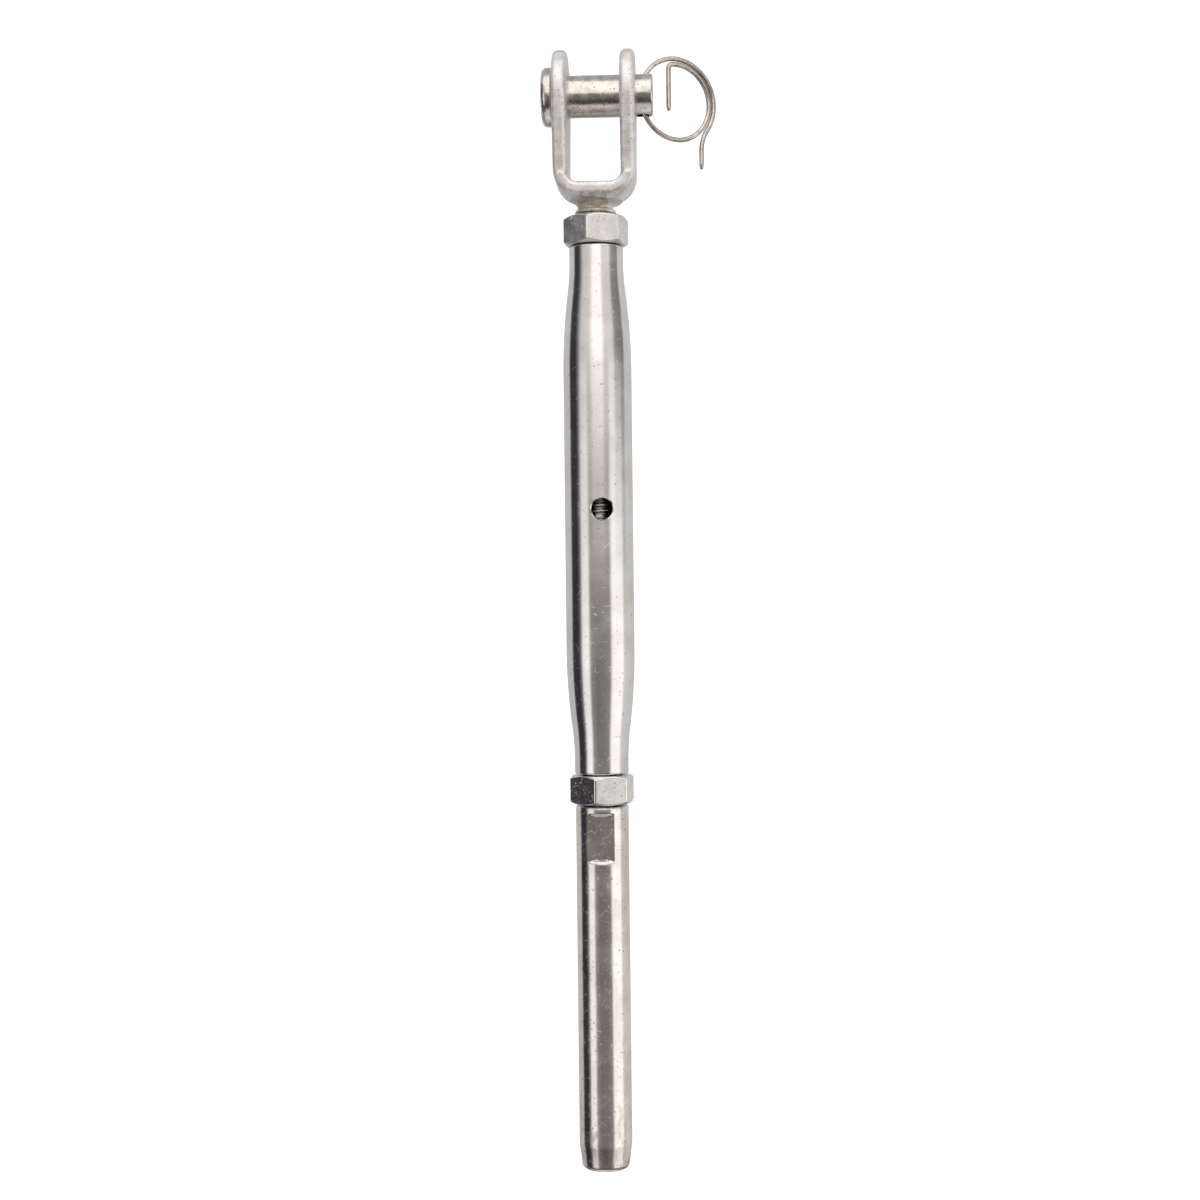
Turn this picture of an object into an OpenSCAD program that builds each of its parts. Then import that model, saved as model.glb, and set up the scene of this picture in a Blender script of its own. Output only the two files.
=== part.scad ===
// Closed-body rigging turnbuckle in stainless steel, shown fully closed.
// A fork with a clevis pin and a cotter ring is at the top, a swage terminal for a wire
// rope is at the bottom, and the tubular body between them draws the two studs together.
// The origin is the centre of the clevis pin. +Z points out of the fork's open end, and
// +X runs along the pin from its head to its ring. Angles are counted from -Y towards +X.

/* [Threads] */
// Nominal diameter of the right-hand stud and of the left-hand stud
thread_d = 12; // [10:0.5:14.5]
// Distance from one thread to the next
thread_pitch = 1.75; // [1.25:0.25:2.25]
// Radial play between a stud and the thread that it runs in
thread_clearance = 0.05; // [0.02:0.01:0.1]
// How far the right-hand stud reaches past the middle of the body
stud_past_middle = 1.7; // [0:0.1:5]
// Gap between the ends of the two studs inside the body
stud_end_gap = 1.3; // [0.5:0.1:6]

/* [Fork] */
// Gap between the two ears
jaw_gap = 16; // [12:0.5:20]
// Distance from the pin's centre down to the bottom of the gap
jaw_depth = 27.2; // [22:0.2:34]
// Thickness of each ear
ear_t = 4.5; // [3:0.1:6]
// Radius of the round end of each ear
ear_r = 14; // [11.5:0.5:17]
// Thickness of the bridge that joins the ears
bridge_t = 4.7; // [3.8:0.1:6]
// Width of the bridge from front to back
bridge_w = 17; // [14:0.5:21]
// Outer corner radius between an ear and the bridge
fork_corner_r = 8.5; // [6:0.5:10]
// Inner corner radius at the bottom of the gap
gap_corner_r = 3; // [1:0.5:5]
// Largest diameter of the flared neck, where it meets the bridge
neck_d = 16; // [14:0.2:19]
// Height of the flared neck
neck_h = 3.3; // [2.5:0.1:5]
// Diameter of the spigot that sets the stud in the fork before welding
spigot_d = 8; // [6:0.2:8.5]
// Length of the spigot
spigot_len = 5; // [3:0.5:6]
// Radial room around the spigot
spigot_clearance = 0.02; // [0.01:0.01:0.1]
// Length of thinner shank left between the neck and the upper lock nut
shank_len = 1.7; // [1:0.1:4]

/* [Clevis pin] */
// Diameter of the clevis pin
pin_d = 12.7; // [10:0.1:16]
// Radial play of the pin in the ears
pin_clearance = 0.1; // [0.05:0.01:0.3]
// Diameter of the pin's head
pin_head_d = 17.8; // [15:0.1:22]
// Thickness of the pin's head
pin_head_t = 3.2; // [2:0.1:5]
// Play between the head and the ear
pin_head_gap = 0.3; // [0.1:0.1:0.6]
// Metal left on the pin between the ear's face and the cross hole
cross_hole_inset = 0.4; // [0.3:0.1:2]
// Metal left on the pin between the cross hole and the pin's end
cross_hole_end_wall = 0.9; // [0.9:0.1:3]

/* [Cotter ring] */
// Thickness of the ring's wire
wire_d = 1.5; // [1.2:0.1:1.6]
// Radius of the middle of the wire on the side that passes through the pin
ring_r = 12.4; // [11.5:0.1:15]
// Room around the wire inside the pin's cross hole
wire_clearance = 0.3; // [0.2:0.05:0.5]
// Space between the two strands where the ring doubles
strand_gap = 0.2; // [0.15:0.05:0.5]
// Angle between the ring and the line of the pin, about the cross hole
ring_turn = 30; // [0:1:80]
// Length of the straight leg inside the ring
leg_len = 12.8; // [8:0.2:15]
// Angle below the pin at which the outer end leaves the round
tail_angle = 35; // [25:1:45]
// Length of the straight part of the outer end
tail_len = 5.6; // [3:0.2:9]

/* [Lock nuts] */
// Width of a lock nut across its flats
nut_af = 17.8; // [16:0.1:22]
// Height of a lock nut
nut_h = 8.8; // [6:0.1:11]
// Angle between a nut's corners and its end faces' chamfer
nut_chamfer_angle = 30; // [20:1:35]
// Gap between a nut and the end of the body, and between the lower nut and the terminal
seat_gap = 0.3; // [0.1:0.05:0.5]
// Angle at which a corner of the upper nut faces
upper_nut_turn = -13; // [-30:1:30]
// Angle at which a corner of the lower nut faces
lower_nut_turn = -9; // [-30:1:30]

/* [Body] */
// Length of the body
body_len = 160; // [130:1:195]
// Diameter of the body at its middle
body_mid_d = 20.8; // [19:0.1:25]
// Diameter of the body at its two ends
body_end_d = 16.4; // [15.4:0.1:19]
// Length of the straight land at each end
land_len = 4; // [2:0.5:6]
// Length of the hollow curve that leaves the land
flare_len = 10; // [5:1:14]
// Length of the full curve that meets the straight middle
shoulder_len = 24; // [15:1:30]
// Length of thread cut into each end
tapped_len = 40; // [20:1:50]
// Diameter of the plain bore between the two threads
relief_bore_d = 14.6; // [14.6:0.1:17]
// Diameter of the hole across the middle of the body
sight_hole_d = 6.5; // [4:0.1:8]
// Angle at which the hole faces
sight_hole_turn = 8.5; // [-45:0.5:45]

/* [Swage terminal] */
// Diameter of the sleeve that is pressed onto the wire
sleeve_d = 16.1; // [14:0.1:20]
// Length of the terminal below its shoulder
sleeve_len = 110.2; // [98:0.2:135]
// Distance from the shoulder to the wrench flats
flats_inset = 3.2; // [2:0.1:5]
// Length of the wrench flats
flats_len = 12.8; // [8:0.1:16]
// Width across the wrench flats
flats_af = 14; // [12:0.1:15.5]
// Diameter of the bore for the wire
wire_bore_d = 8.4; // [6:0.1:10]
// Depth of the bore for the wire
wire_bore_depth = 83; // [70:1:92]
// Length of the tapered nose
nose_len = 6; // [3:0.5:9]
// Diameter of the nose where its rounded end begins
nose_d = 14.6; // [12.5:0.1:16]
// Radius of the rounded end of the nose
nose_r = 1.6; // [0.8:0.1:2]

/* [Hidden] */
$fn = 64;
// Margin by which a cutting shape runs past the face that it cuts
cut = 1;
// Height of the small chamfers on lands and hole mouths
edge = 0.5;
// Height of the chamfer on the end of each stud
stud_chamfer = 1;
// Depth of a metric thread as a share of its pitch
thread_depth_share = 0.6134;
// How much thicker the plain shank is than the root of the thread, in radius
shank_extra = 0.3;

// Thread sizes
stud_r = thread_d / 2;
bore_r = stud_r + thread_clearance;
root_r = stud_r - thread_depth_share * thread_pitch;
shank_r = root_r + shank_extra;

// Heights, from the fork down to the nose
gap_bottom_z = -jaw_depth;
bridge_bottom_z = gap_bottom_z - bridge_t;
neck_end_z = bridge_bottom_z - neck_h;
upper_nut_top_z = neck_end_z - shank_len;
upper_nut_bottom_z = upper_nut_top_z - nut_h;
body_top_z = upper_nut_bottom_z - seat_gap;
body_bottom_z = body_top_z - body_len;
body_middle_z = (body_top_z + body_bottom_z) / 2;
lower_nut_top_z = body_bottom_z - seat_gap;
lower_nut_bottom_z = lower_nut_top_z - nut_h;
shoulder_z = lower_nut_bottom_z - seat_gap;
nose_z = shoulder_z - sleeve_len;
jaw_stud_end_z = body_middle_z - stud_past_middle;
terminal_stud_end_z = jaw_stud_end_z - stud_end_gap;
spigot_top_z = neck_end_z + spigot_len;

// Fork and pin
fork_w = jaw_gap + 2 * ear_t;
pin_r = pin_d / 2;
pin_hole_r = pin_r + pin_clearance;
pin_head_x = -fork_w / 2 - pin_head_gap;
pin_edge = 0.8;
pin_crown = 0.55 * pin_head_t;

// Cotter ring: three half rounds, each larger than the last by half the strand spacing
strand_step = (wire_d + strand_gap) / 2;
inner_r = ring_r - strand_step;
outer_r = ring_r + strand_step;
// Where the wire's inner side leaves the pin, measured from the ring's centre
mouth_reach = sqrt(pow(ring_r - wire_d / 2, 2) - pow(pin_r, 2));
// Distance from the cross hole to the ring's centre that keeps the wire mid-hole
ring_reach = (ring_r + wire_d / 2 + mouth_reach) / 2;
// The cross hole is as wide as the bow of the wire inside the pin, with room around it
cross_hole_r = (ring_r + wire_d / 2 - mouth_reach) / 2 + wire_clearance;
cross_hole_x = fork_w / 2 + cross_hole_inset + cross_hole_r;
pin_end_x = cross_hole_x + cross_hole_r + cross_hole_end_wall;
// Lengths of wire meet inside a small round joint, which is a little thicker
joint_trim = 0.1;
joint_swell = 0.08;
leg_bend_r = 1.6;
leg_overrun = 1.2;
tail_bend_r = 11.6;

// A nut's end faces are a little narrower than its flats
nut_face_r = 0.97 * nut_af / 2;

// Body
body_mid_r = body_mid_d / 2;
body_end_r = body_end_d / 2;
taper_len = flare_len + shoulder_len;
// Steepest slope of the taper, where its hollow and full curves meet
taper_slope = 2 * (body_mid_r - body_end_r) / taper_len;
relief_r = relief_bore_d / 2;
// Angle of the drill point at the bottom of the wire bore
drill_tip_angle = 118;
taper_steps = 17;

// Radius of the body at distance s from the end of a land
function taper_r(s) = s < flare_len
    ? body_end_r + taper_slope * s * s / (2 * flare_len)
    : body_mid_r - taper_slope * pow(taper_len - s, 2) / (2 * shoulder_len);

// Outside of the body from one end face to the straight middle
function half_outline(end_z, way) = concat(
    [[body_end_r - edge, end_z], [body_end_r, end_z - way * edge]],
    [for (i = [0 : taper_steps])
        let (s = taper_len * i / taper_steps)
            [taper_r(s), end_z - way * (land_len + s)]]
);

// The same points in the other order
function reversed(points) = [for (i = [len(points) - 1 : -1 : 0]) points[i]];

// Points of an arc about c, from angle a to angle b
function arc_points(c, r, a, b, steps = 12) = [
    for (i = [0 : steps])
        let (t = a + (b - a) * i / steps)
            [c[0] + r * cos(t), c[1] + r * sin(t)]
];

// Where a straight line from point p touches a circle of radius r about the origin
function tangent_point(p, r) =
    let (t = atan2(p[1], p[0]) + acos(r / norm(p)))
        [r * cos(t), r * sin(t)];

// Outline of the fork from the front: a U with round corners
module fork_front() {
    round_z = bridge_bottom_z + fork_corner_r;
    difference() {
        union() {
            translate([-fork_w / 2, round_z])
                square([fork_w, ear_r - round_z]);
            translate([-fork_w / 2 + fork_corner_r, bridge_bottom_z])
                square([fork_w - 2 * fork_corner_r, 2 * fork_corner_r]);
            for (side = [-1, 1])
                translate([side * (fork_w / 2 - fork_corner_r), round_z])
                    circle(r = fork_corner_r);
        }
        translate([-jaw_gap / 2, gap_bottom_z + gap_corner_r])
            square([jaw_gap, ear_r + cut - gap_bottom_z - gap_corner_r]);
        translate([-jaw_gap / 2 + gap_corner_r, gap_bottom_z])
            square([jaw_gap - 2 * gap_corner_r, 2 * gap_corner_r]);
        for (side = [-1, 1])
            translate([side * (jaw_gap / 2 - gap_corner_r), gap_bottom_z + gap_corner_r])
                circle(r = gap_corner_r);
    }
}

// Outline of the fork from the side: round ears that narrow towards the bridge
module fork_side() {
    root = [bridge_w / 2, gap_bottom_z];
    touch = tangent_point(root, ear_r);
    circle(r = ear_r);
    polygon([
        [0, 0],
        touch,
        root,
        [bridge_w / 2, bridge_bottom_z],
        [-bridge_w / 2, bridge_bottom_z],
        [-root[0], root[1]],
        [-touch[0], touch[1]]
    ]);
}

// Half outline of the neck: a hollow curve from the stud's shank out to the bridge
module neck_outline() {
    neck_r = neck_d / 2;
    flare = neck_r - shank_r;
    hollow_r = (neck_h * neck_h + flare * flare) / (2 * flare);
    hollow_c = [shank_r + hollow_r, neck_end_z];
    polygon(concat(
        [[0, neck_end_z]],
        arc_points(hollow_c, hollow_r, 180, 180 - asin(neck_h / hollow_r)),
        [[neck_r, bridge_bottom_z + bridge_t / 2],
         [0, bridge_bottom_z + bridge_t / 2]]
    ));
}

// Cast fork: two ears, the bridge between them and the flared neck under it
module jaw_fork() {
    color("lightgray")
        difference() {
            union() {
                intersection() {
                    rotate([90, 0, 0])
                        linear_extrude(2 * ear_r + 2 * cut, center = true)
                            fork_front();
                    rotate([90, 0, 90])
                        linear_extrude(fork_w + 2 * cut, center = true)
                            fork_side();
                }
                rotate_extrude()
                    neck_outline();
            }
            rotate([0, 90, 0])
                cylinder(r = pin_hole_r, h = fork_w + 2 * cut, center = true);
            translate([0, 0, neck_end_z - cut])
                cylinder(r = spigot_d / 2 + spigot_clearance, h = spigot_len + cut);
        }
}

// Right-hand stud: spigot in the fork's neck, plain shank, and the thread
module jaw_stud() {
    thread_top_z = upper_nut_top_z - edge;
    color("silver")
        rotate_extrude()
            polygon([
                [0, spigot_top_z],
                [spigot_d / 2, spigot_top_z],
                [spigot_d / 2, neck_end_z],
                [shank_r, neck_end_z],
                [shank_r, thread_top_z],
                [stud_r, thread_top_z - edge],
                [stud_r, jaw_stud_end_z + stud_chamfer],
                [stud_r - stud_chamfer, jaw_stud_end_z],
                [0, jaw_stud_end_z]
            ]);
}

// Clevis pin: shank through both ears, low round head, and the hole for the ring
module clevis_pin() {
    head_r = pin_head_d / 2;
    color("silver")
        difference() {
            rotate([0, 90, 0])
                rotate_extrude()
                    polygon(concat(
                        [[0, pin_end_x], [0, pin_head_x - pin_head_t]],
                        [for (i = [0 : 8])
                            let (t = 90 * i / 8)
                                [head_r - pin_crown * (1 - sin(t)),
                                 pin_head_x - pin_head_t + pin_crown * (1 - cos(t))]],
                        [[head_r, pin_head_x],
                         [pin_r, pin_head_x],
                         [pin_r, pin_end_x - pin_edge],
                         [pin_r - pin_edge, pin_end_x]]
                    ));
            translate([cross_hole_x, 0, 0])
                cylinder(r = cross_hole_r, h = pin_d + 2 * cut, center = true);
        }
}

// Part of a round of wire in the XZ plane, from angle a through a sweep, about [x, z]
module wire_arc(centre, r, a, sweep) {
    trim = joint_trim / r * 180 / PI;
    translate([centre[0], 0, centre[1]])
        rotate([90, 0, 0])
            rotate([0, 0, a + trim])
                rotate_extrude(angle = sweep - 2 * trim)
                    translate([r, 0])
                        circle(d = wire_d);
}

// Straight length of wire hanging down from [x, z] in the XZ plane
module wire_leg(top, len) {
    translate([top[0], 0, top[1] - len])
        cylinder(d = wire_d, h = len - joint_trim);
}

// Cotter ring: leg, inner half round, half round through the pin, outer round, tail
module cotter_ring() {
    low = [0, -strand_step];
    leg_a = asin(leg_overrun / inner_r);
    leg_bend_c = low + (inner_r - leg_bend_r) * [-sin(leg_a), cos(leg_a)];
    leg_top = leg_bend_c - [leg_bend_r, 0];
    tail_way = [cos(tail_angle), -sin(tail_angle)];
    tail_bend_c = low + (outer_r + tail_bend_r) * tail_way;
    tail_top = tail_bend_c - [tail_bend_r, 0];
    joints = [
        leg_top,
        low + inner_r * [-sin(leg_a), cos(leg_a)],
        [0, -ring_r],
        [0, ring_r],
        low + outer_r * tail_way,
        tail_top
    ];
    color("gainsboro")
        translate([cross_hole_x, 0, 0])
            rotate([0, 0, ring_turn])
                translate([ring_reach, 0, 0])
                    union() {
                        wire_leg(leg_top, leg_len);
                        wire_arc(leg_bend_c, leg_bend_r, 90 + leg_a, 90 - leg_a);
                        wire_arc(low, inner_r, -90, 180 + leg_a);
                        wire_arc([0, 0], ring_r, 90, 180);
                        wire_arc(low, outer_r, -tail_angle, 90 + tail_angle);
                        wire_arc(tail_bend_c, tail_bend_r, 180 - tail_angle, tail_angle);
                        wire_leg(tail_top, tail_len);
                        for (p = joints)
                            translate([p[0], 0, p[1]])
                                sphere(d = wire_d + joint_swell);
                    }
}

// Lock nut with both ends chamfered, from bottom_z up, with a corner at the angle turn
module lock_nut(bottom_z, turn) {
    corner_r = nut_af / sqrt(3);
    drop = (corner_r - nut_face_r) * tan(nut_chamfer_angle);
    translate([0, 0, bottom_z])
        difference() {
            intersection() {
                rotate([0, 0, turn - 90])
                    cylinder(r = corner_r, h = nut_h, $fn = 6);
                rotate_extrude()
                    polygon([
                        [0, 0],
                        [nut_face_r, 0],
                        [corner_r, drop],
                        [corner_r, nut_h - drop],
                        [nut_face_r, nut_h],
                        [0, nut_h]
                    ]);
            }
            translate([0, 0, -cut])
                cylinder(r = bore_r, h = nut_h + 2 * cut);
            for (end = [0, 1])
                translate([0, 0, end * nut_h])
                    mirror([0, 0, end])
                        translate([0, 0, -edge])
                            cylinder(r1 = bore_r + 2 * edge, r2 = bore_r, h = 2 * edge);
        }
}

// Lock nut on the right-hand stud
module upper_lock_nut() {
    color("darkgray")
        lock_nut(upper_nut_bottom_z, upper_nut_turn);
}

// Lock nut on the left-hand stud
module lower_lock_nut() {
    color("darkgray")
        lock_nut(lower_nut_bottom_z, lower_nut_turn);
}

// Tubular body: outside tapered to both ends, a thread in each end, a hole across it
module body_tube() {
    step = relief_r - bore_r;
    color("silver")
        difference() {
            rotate_extrude()
                polygon(concat(
                    [[0, body_top_z]],
                    half_outline(body_top_z, 1),
                    reversed(half_outline(body_bottom_z, -1)),
                    [[0, body_bottom_z]]
                ));
            rotate_extrude()
                polygon([
                    [0, body_top_z + cut],
                    [bore_r + edge, body_top_z + cut],
                    [bore_r + edge, body_top_z],
                    [bore_r, body_top_z - edge],
                    [bore_r, body_top_z - tapped_len],
                    [relief_r, body_top_z - tapped_len - step],
                    [relief_r, body_bottom_z + tapped_len + step],
                    [bore_r, body_bottom_z + tapped_len],
                    [bore_r, body_bottom_z + edge],
                    [bore_r + edge, body_bottom_z],
                    [bore_r + edge, body_bottom_z - cut],
                    [0, body_bottom_z - cut]
                ]);
            translate([0, 0, body_middle_z])
                rotate([90, 0, sight_hole_turn])
                    cylinder(d = sight_hole_d, h = body_mid_d + 2 * cut, center = true);
        }
}

// Swage terminal: left-hand stud, shoulder with wrench flats, sleeve bored for the wire
module swage_terminal() {
    sleeve_r = sleeve_d / 2;
    nose_end_r = nose_d / 2 - nose_r;
    drill_tip_h = wire_bore_d / 2 / tan(drill_tip_angle / 2);
    color("silver")
        difference() {
            rotate_extrude()
                polygon(concat(
                    [
                        [0, terminal_stud_end_z],
                        [stud_r - stud_chamfer, terminal_stud_end_z],
                        [stud_r, terminal_stud_end_z - stud_chamfer],
                        [stud_r, shoulder_z],
                        [sleeve_r - edge, shoulder_z],
                        [sleeve_r, shoulder_z - edge],
                        [sleeve_r, nose_z + nose_r + nose_len]
                    ],
                    arc_points([nose_end_r, nose_z + nose_r], nose_r, 0, -90, 8),
                    [[0, nose_z]]
                ));
            for (side = [-1, 1])
                translate([0, side * (flats_af / 2 + sleeve_r / 2),
                           shoulder_z - flats_inset - flats_len / 2])
                    cube([sleeve_d + 2 * cut, sleeve_r, flats_len], center = true);
            translate([0, 0, nose_z - cut])
                cylinder(d = wire_bore_d, h = wire_bore_depth + cut);
            translate([0, 0, nose_z + wire_bore_depth])
                cylinder(r1 = wire_bore_d / 2, r2 = 0, h = drill_tip_h);
            translate([0, 0, nose_z - edge])
                cylinder(r1 = wire_bore_d / 2 + 2 * edge, r2 = wire_bore_d / 2, h = 2 * edge);
        }
}

jaw_fork();
jaw_stud();
clevis_pin();
cotter_ring();
upper_lock_nut();
body_tube();
lower_lock_nut();
swage_terminal();
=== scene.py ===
# %% [markdown]
# # A closed-body rigging turnbuckle
#
# A turnbuckle sets the tension of a wire stay on a boat. This one is a tube with a
# right-hand thread in one end and a left-hand thread in the other. A fork with a clevis
# pin joins it to the deck or mast, and a swaged terminal grips the wire. Turning the
# tube draws both studs in at once, and two lock nuts hold the setting.
#
# The moving frame of the model already exists: every part has its place and its joint.
# This lesson dresses that frame. Each of the eight parts gets a finer mesh and a steel
# of its own, and the frame's plain solids stay hidden underneath.

import math

import bmesh
import bpy
import numpy as np
from mathutils import Matrix, Vector


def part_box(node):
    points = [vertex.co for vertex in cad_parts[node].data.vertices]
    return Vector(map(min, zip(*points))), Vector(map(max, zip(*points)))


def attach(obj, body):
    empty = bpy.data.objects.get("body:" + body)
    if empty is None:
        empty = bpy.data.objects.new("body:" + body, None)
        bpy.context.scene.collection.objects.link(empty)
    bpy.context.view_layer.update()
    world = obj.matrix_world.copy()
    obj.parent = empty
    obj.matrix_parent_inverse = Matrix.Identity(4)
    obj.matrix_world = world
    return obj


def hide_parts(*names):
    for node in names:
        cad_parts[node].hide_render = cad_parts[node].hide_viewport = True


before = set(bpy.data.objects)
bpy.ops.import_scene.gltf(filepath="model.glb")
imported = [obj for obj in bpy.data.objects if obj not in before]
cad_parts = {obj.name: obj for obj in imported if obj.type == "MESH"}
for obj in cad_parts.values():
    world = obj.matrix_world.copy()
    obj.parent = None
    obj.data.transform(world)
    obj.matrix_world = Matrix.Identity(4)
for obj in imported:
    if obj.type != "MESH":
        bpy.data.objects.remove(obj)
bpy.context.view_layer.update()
MM = 0.001
print("parts:", sorted(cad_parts))

# %% [markdown]
# ## Sizes that the parts share
#
# On the bench these would be read off with a caliper. Here the frame gives them: each
# part's box says where it begins and ends. Sizes inside a part, such as the depth of a
# thread, are written out where they are used. Everything below is worked out in
# millimetres and scaled to metres once, when a mesh is built, because small round
# numbers are easier to read than a row of zeros.

# %% Heights and radii, in millimetres
X, Y, Z = 0, 1, 2


def span(node, axis):
    """Lowest and highest place of a frame part along one axis."""
    low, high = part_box(node)
    return low[axis] / MM, high[axis] / MM


FORK_HALF = span("jaw_fork", X)[1]
EAR_R = span("jaw_fork", Z)[1]
NECK_END = span("jaw_fork", Z)[0]
STUD_END, SPIGOT_TOP = span("jaw_stud", Z)
HEAD_END, PIN_END = span("clevis_pin", X)
HEAD_R = span("clevis_pin", Z)[1]
UPPER_NUT = span("upper_lock_nut", Z)
LOWER_NUT = span("lower_lock_nut", Z)
BODY_LOW, BODY_TOP = span("body_tube", Z)
BODY_MID = (BODY_LOW + BODY_TOP) / 2
BODY_R = span("body_tube", X)[1]
NOSE, TERMINAL_TOP = span("swage_terminal", Z)
SHOULDER = LOWER_NUT[0] - 0.3
SLEEVE_R = span("swage_terminal", X)[1]
print("body", round(BODY_TOP, 2), "to", round(BODY_LOW, 2), "radius", round(BODY_R, 3))
print("terminal", round(TERMINAL_TOP, 2), "to", round(NOSE, 2))

# %% [markdown]
# ## From points to a mesh
#
# Most of these parts come off a lathe, so most meshes start as rows of points on
# circles. Rows often meet: a cone ends on an axis, a thread runs out on a shank. The
# simple way to handle that is to let such points fall on each other and weld them
# afterwards. Flat lathe faces meet round ones at sharp edges, and marking edges by their
# angle keeps those crisp while the rest is shaded smooth. The printed count of open
# edges is the test that a mesh is a closed skin, as real metal is.

# %% Build, weld and shade a mesh
def build(name, points, faces, sharp_at=24):
    """A closed mesh object from points in millimetres."""
    mesh = bpy.data.meshes.new(name)
    mesh.from_pydata((np.asarray(points) * MM).tolist(), [], faces)
    work = bmesh.new()
    work.from_mesh(mesh)
    bmesh.ops.remove_doubles(work, verts=work.verts, dist=1e-6)
    bmesh.ops.recalc_face_normals(work, faces=work.faces)
    still_open = sum(not edge.is_manifold for edge in work.edges)
    work.to_mesh(mesh)
    work.free()
    mesh.shade_smooth()
    mesh.set_sharp_from_angle(angle=math.radians(sharp_at))
    piece = bpy.data.objects.new(name, mesh)
    bpy.context.scene.collection.objects.link(piece)
    print(f"{name}: {len(mesh.polygons)} faces, {still_open} open edges")
    return piece


# %% Turn an outline on the lathe
COLUMNS = 96
AROUND = np.linspace(0, 2 * math.pi, COLUMNS + 1)


def grid_faces(rows, columns):
    """Quads between neighbouring rows of a sheet of points."""
    at = np.arange(rows * columns).reshape(rows, columns)
    corners = (at[:-1, :-1], at[:-1, 1:], at[1:, 1:], at[1:, :-1])
    return np.stack([c.ravel() for c in corners], axis=1).tolist()


def turned(outline, shape=None, around=AROUND):
    """Points and quads of (radius, height) pairs turned about the Z axis.
    Angles count from -Y towards +X. shape may change a row's radii, given its number."""
    sheet = []
    for row, (radius, height) in enumerate(outline):
        radii = np.full(len(around), float(radius))
        if shape is not None:
            radii = shape(row, radii, around)
        sheet.append(np.stack(
            [radii * np.sin(around), -radii * np.cos(around), np.full(len(around), height)],
            axis=1,
        ))
    return np.concatenate(sheet), grid_faces(len(outline), len(around))


def eased(corners, steps=4):
    """An outline from (radius, height, ease) corners. Each is rounded over its ease."""
    corners = [np.array(c if len(c) == 3 else (*c, 0.0), float) for c in corners]
    outline = []
    for k, corner in enumerate(corners):
        if corner[2] == 0 or k in (0, len(corners) - 1):
            outline.append(tuple(corner[:2]))
            continue
        ends = []
        for other in (corners[k - 1], corners[k + 1]):
            way = other[:2] - corner[:2]
            ends.append(corner[:2] + way / np.linalg.norm(way) * corner[2])
        for t in np.linspace(0, 1, steps + 1):
            bend = (1 - t) ** 2 * ends[0] + 2 * t * (1 - t) * corner[:2] + t**2 * ends[1]
            outline.append(tuple(bend))
    return outline


# %% [markdown]
# ## Threads that really wind
#
# A screw thread could be painted on with a bump, but it would vanish at the silhouette
# and in the inspection hole, where it matters most. It could also be a spiral modifier
# on a small profile, which is hard to end cleanly. Here the thread is a sheet of points
# whose rows follow the helix: each row climbs one pitch per turn, so crests and roots
# are never jagged. Where a row would leave the stud it is held at the end face, and
# the weld closes it. The run-out at the shank and the chamfer at the tip are limits on
# the radius. Both tips reach half a millimetre past the frame's, towards each other, so
# that no daylight shows between them in the inspection hole.

# %% The thread's sizes and its profile over one pitch
PITCH = 1.75
STUD_R = 6.0
ROOT_R = 4.927
SHANK_R = 5.227
TIP_R = 5.0
TIP_REACH = 0.48
RIGHT_HAND, LEFT_HAND = 1, -1
RUN_OUT = 1.2
PROFILE = np.array([
    (0.0, STUD_R), (0.06, STUD_R), (0.075, STUD_R - 0.02), (0.22, 5.47), (0.37, 4.98),
    (0.43, 4.935), (0.50, ROOT_R), (0.57, 4.935), (0.63, 4.98), (0.78, 5.47),
    (0.925, STUD_R - 0.02), (0.94, STUD_R), (1.0, STUD_R),
])
print("thread pitch", PITCH, "mm, depth", round(STUD_R - ROOT_R, 3), "mm")


# %% A helix of rows between two heights
def join(*parts):
    """Several lists of points and faces as one."""
    points, faces = [], []
    for some_points, some_faces in parts:
        faces += [tuple(i + len(points) for i in face) for face in some_faces]
        points += [tuple(p) for p in some_points]
    return points, faces


def threaded(shank_end, tip, hand, around=AROUND):
    """Points and quads of a stud's thread, from its plain shank to its flat tip."""
    low, high = min(shank_end, tip), max(shank_end, tip)
    shares = PROFILE[:-1, 0]
    turns = math.ceil((high - low) / PITCH) + 2
    starts = low + PITCH * (np.arange(-2, turns)[:, None] + shares[None, :]).ravel()
    rise = hand * PITCH * around / (2 * math.pi)
    height = np.clip(starts[:, None] + rise[None, :], low, high)
    phase = ((height - low - rise[None, :]) / PITCH) % 1.0
    radius = np.interp(phase, PROFILE[:, 0], PROFILE[:, 1])
    fade = np.clip(np.abs(height - shank_end) / RUN_OUT, 0, 1)
    fade = fade * fade * (3 - 2 * fade)
    radius = SHANK_R + (radius - SHANK_R) * fade
    radius = np.minimum(radius, TIP_R + np.abs(height - tip))
    points = np.stack(
        [radius * np.sin(around), -radius * np.cos(around), height], axis=2
    ).reshape(-1, 3)
    faces = grid_faces(len(starts), len(around))
    tip_phase = ((tip - low - rise) / PITCH) % 1.0
    rim = np.minimum(np.interp(tip_phase, PROFILE[:, 0], PROFILE[:, 1]), TIP_R)
    cap = [
        np.stack([r * np.sin(around), -r * np.cos(around), np.full(len(around), tip)], 1)
        for r in (rim, rim * 0.5, rim * 0.0)
    ]
    return join((points, faces), (np.concatenate(cap), grid_faces(3, len(around))))


# %% [markdown]
# ## Rounded castings, the smooth way
#
# A casting has no sharp corners anywhere, and rounding every edge of a fork by hand,
# with its ears, bridge and flared neck, is slow and fragile. Bevel modifiers struggle
# where three shapes meet. A calmer way is to describe the solid as a field: a number at
# each place that says how far it is inside the metal. Two fields join or cut with a
# rounded edge by a short formula. A skin is then drawn where the field is zero: one
# point in each small cell that the surface crosses, pulled exactly onto the surface,
# with shading taken from the field itself.

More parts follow.
